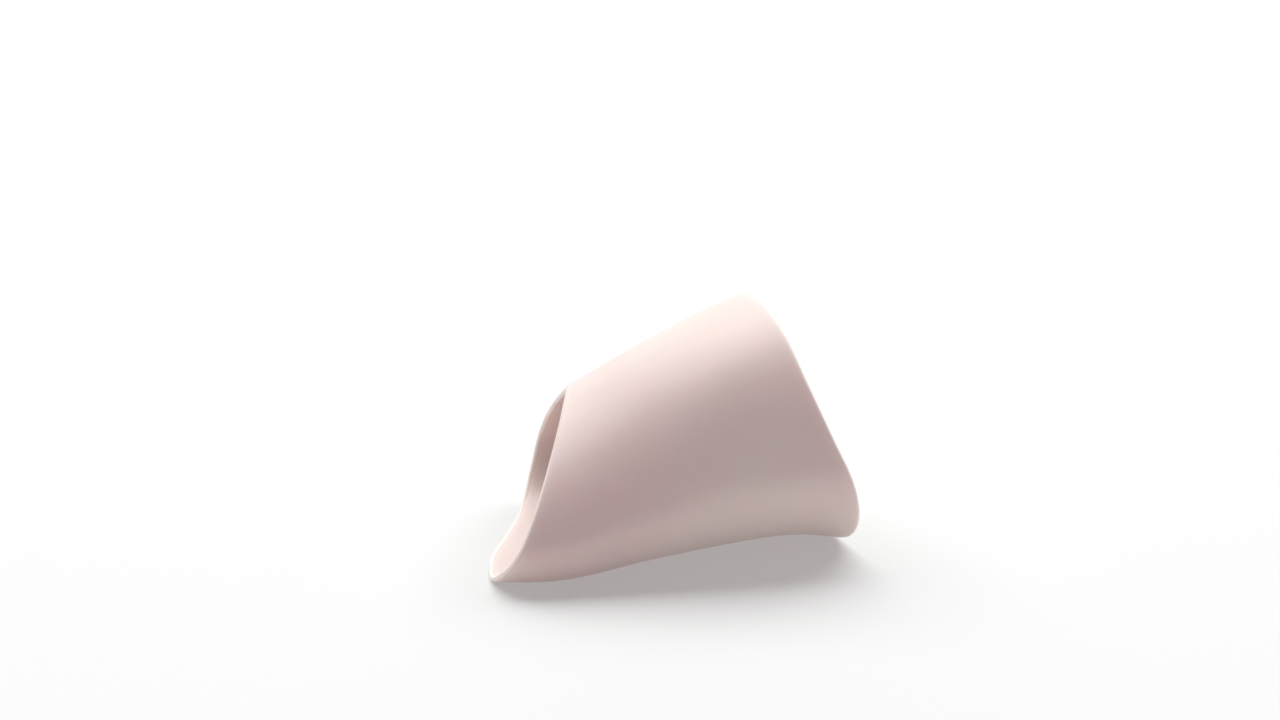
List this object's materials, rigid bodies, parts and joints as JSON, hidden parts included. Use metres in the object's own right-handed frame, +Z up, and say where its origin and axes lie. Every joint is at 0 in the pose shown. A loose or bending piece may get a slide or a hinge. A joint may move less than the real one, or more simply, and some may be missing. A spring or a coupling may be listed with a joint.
{
  "type": "gel arch sleeve",
  "caption": "Soft gel arch sleeve for a right foot: a thin tapered tube, open at both ends, short over the instep and long under the arch, that cushions and supports the midfoot.",
  "frame": {"origin": "on the floor, under the middle of the bounding box", "axes": "+X from the toes toward the heel, +Y toward the outer side of the foot, +Z up"},
  "size_m": [0.0984, 0.087, 0.07],
  "materials": {
    "gel": "satin, whitish, slightly see-through moulded gel"
  },
  "bodies": {
    "root": {"gel_sleeve": "gel"}
  },
  "joints": []
}
